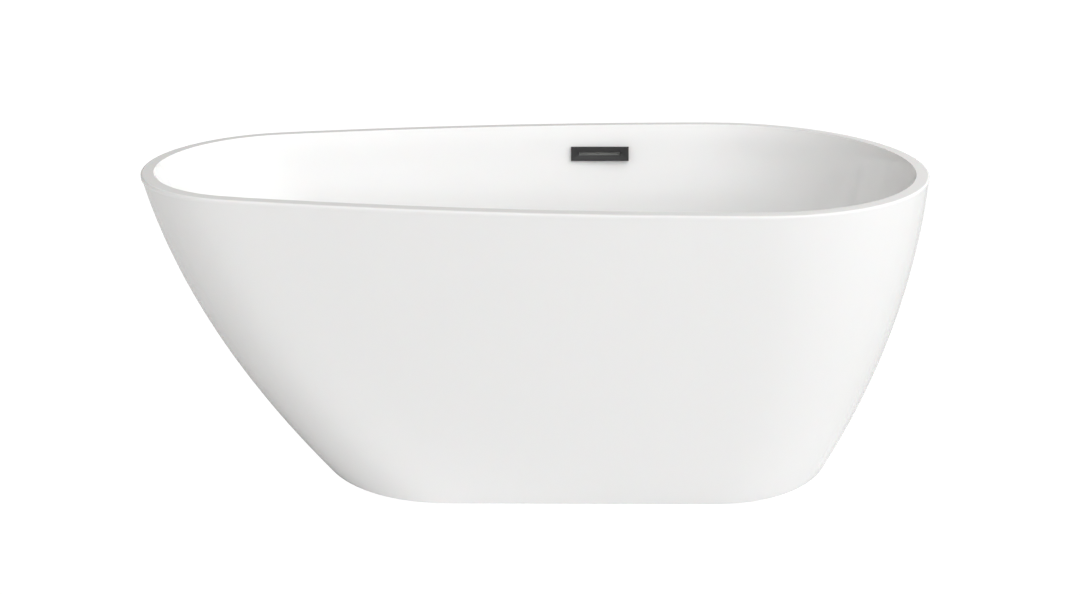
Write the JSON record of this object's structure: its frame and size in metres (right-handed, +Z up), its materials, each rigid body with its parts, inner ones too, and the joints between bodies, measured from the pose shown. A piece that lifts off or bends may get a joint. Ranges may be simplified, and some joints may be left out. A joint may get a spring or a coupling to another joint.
{
  "type": "freestanding bathtub",
  "caption": "Egg-shaped freestanding acrylic bathtub with a slim flat rim, slot overflow, push-down plug waste and a hidden steel frame on levelling feet.",
  "frame": {"origin": "on the floor, under the middle of the tub's length and width", "axes": "+X towards the wide foot end, +Y towards the side with the overflow, +Z up"},
  "size_m": [1.5, 0.7506, 0.6],
  "materials": {
    "white_acrylic": "gloss white cast acrylic",
    "glass_fibre": "rough chopped-strand laminate",
    "plywood": "sanded plywood",
    "coated_steel": "grey powder-coated steel tube",
    "zinc_steel": "bright zinc plate",
    "foot_plastic": "black moulded plastic",
    "black_finish": "matt black coating",
    "rubber": "matt black rubber",
    "white_plastic": "satin white moulded plastic",
    "grey_plastic": "grey moulded plastic",
    "brass": "turned brass",
    "spring_steel": "drawn wire"
  },
  "bodies": {
    "tub": {"base_board": "plywood", "basin_laminate": "glass_fibre", "basin_shell": "white_acrylic", "cross_member_foot": "coated_steel", "cross_member_head": "coated_steel", "cross_member_middle": "coated_steel", "drain_flange": "black_finish", "drain_seal": "rubber", "lock_nuts": "zinc_steel", "long_screws": "zinc_steel", "overflow_back_seal": "rubber", "overflow_body": "white_plastic", "overflow_cover": "black_finish", "overflow_front_seal": "rubber", "overflow_pipe": "white_plastic", "overflow_screws": "zinc_steel", "pipe_bottom_nut": "grey_plastic", "pipe_bottom_seal": "rubber", "pipe_top_nut": "grey_plastic", "pipe_top_seal": "rubber", "plug_cartridge": "brass", "plug_spring": "spring_steel", "rail_back": "coated_steel", "rail_front": "coated_steel", "short_screws": "zinc_steel", "skirt_laminate": "glass_fibre", "skirt_shell": "white_acrylic", "tailpiece": "white_plastic", "tailpiece_nut": "grey_plastic", "tailpiece_seal": "rubber", "waste_body": "white_plastic", "waste_washer": "rubber", "weld_nuts": "zinc_steel"},
    "plug": {"plug_cap": "black_finish", "plug_seal": "rubber", "plug_stem": "brass"},
    "pad_head_front": {"foot_pad_head_front": "foot_plastic"},
    "stud_head_front": {"foot_stud_head_front": "zinc_steel"},
    "pad_head_back": {"foot_pad_head_back": "foot_plastic"},
    "stud_head_back": {"foot_stud_head_back": "zinc_steel"},
    "pad_foot_front": {"foot_pad_foot_front": "foot_plastic"},
    "stud_foot_front": {"foot_stud_foot_front": "zinc_steel"},
    "pad_foot_back": {"foot_pad_foot_back": "foot_plastic"},
    "stud_foot_back": {"foot_stud_foot_back": "zinc_steel"},
    "pad_middle": {"foot_pad_middle": "foot_plastic"},
    "stud_middle": {"foot_stud_middle": "zinc_steel"}
  },
  "joints": [
    {"name": "plug_lift", "type": "slide", "parent": "tub", "child": "plug", "axis": [0, 0, 1], "range_m": [0, 0.009], "deforming": ["plug_spring"]},
    {"name": "foot_height_head_front", "type": "slide", "parent": "tub", "child": "pad_head_front", "axis": [0, 0, -1], "range_m": [0, 0.02]},
    {"name": "stud_turn_head_front", "type": "hinge", "parent": "pad_head_front", "child": "stud_head_front", "pos_m": [-0.2895, -0.173, 0.05], "axis": [0, 0, -1], "range_deg": [0, 4114.8]},
    {"name": "foot_height_head_back", "type": "slide", "parent": "tub", "child": "pad_head_back", "axis": [0, 0, -1], "range_m": [0, 0.02]},
    {"name": "stud_turn_head_back", "type": "hinge", "parent": "pad_head_back", "child": "stud_head_back", "pos_m": [-0.2895, 0.173, 0.05], "axis": [0, 0, -1], "range_deg": [0, 4114.8]},
    {"name": "foot_height_foot_front", "type": "slide", "parent": "tub", "child": "pad_foot_front", "axis": [0, 0, -1], "range_m": [0, 0.02]},
    {"name": "stud_turn_foot_front", "type": "hinge", "parent": "pad_foot_front", "child": "stud_foot_front", "pos_m": [0.43051, -0.173, 0.05], "axis": [0, 0, -1], "range_deg": [0, 4114.8]},
    {"name": "foot_height_foot_back", "type": "slide", "parent": "tub", "child": "pad_foot_back", "axis": [0, 0, -1], "range_m": [0, 0.02]},
    {"name": "stud_turn_foot_back", "type": "hinge", "parent": "pad_foot_back", "child": "stud_foot_back", "pos_m": [0.43051, 0.173, 0.05], "axis": [0, 0, -1], "range_deg": [0, 4114.8]},
    {"name": "foot_height_middle", "type": "slide", "parent": "tub", "child": "pad_middle", "axis": [0, 0, -1], "range_m": [0, 0.02]},
    {"name": "stud_turn_middle", "type": "hinge", "parent": "pad_middle", "child": "stud_middle", "pos_m": [0.01, 0, 0.05], "axis": [0, 0, -1], "range_deg": [0, 4114.8]}
  ],
  "couplings": [
    {"joint": "stud_turn_head_front", "follows": "foot_height_head_front", "rad_per_m": 3590.4},
    {"joint": "stud_turn_head_back", "follows": "foot_height_head_back", "rad_per_m": 3590.4},
    {"joint": "stud_turn_foot_front", "follows": "foot_height_foot_front", "rad_per_m": 3590.4},
    {"joint": "stud_turn_foot_back", "follows": "foot_height_foot_back", "rad_per_m": 3590.4},
    {"joint": "stud_turn_middle", "follows": "foot_height_middle", "rad_per_m": 3590.4}
  ]
}
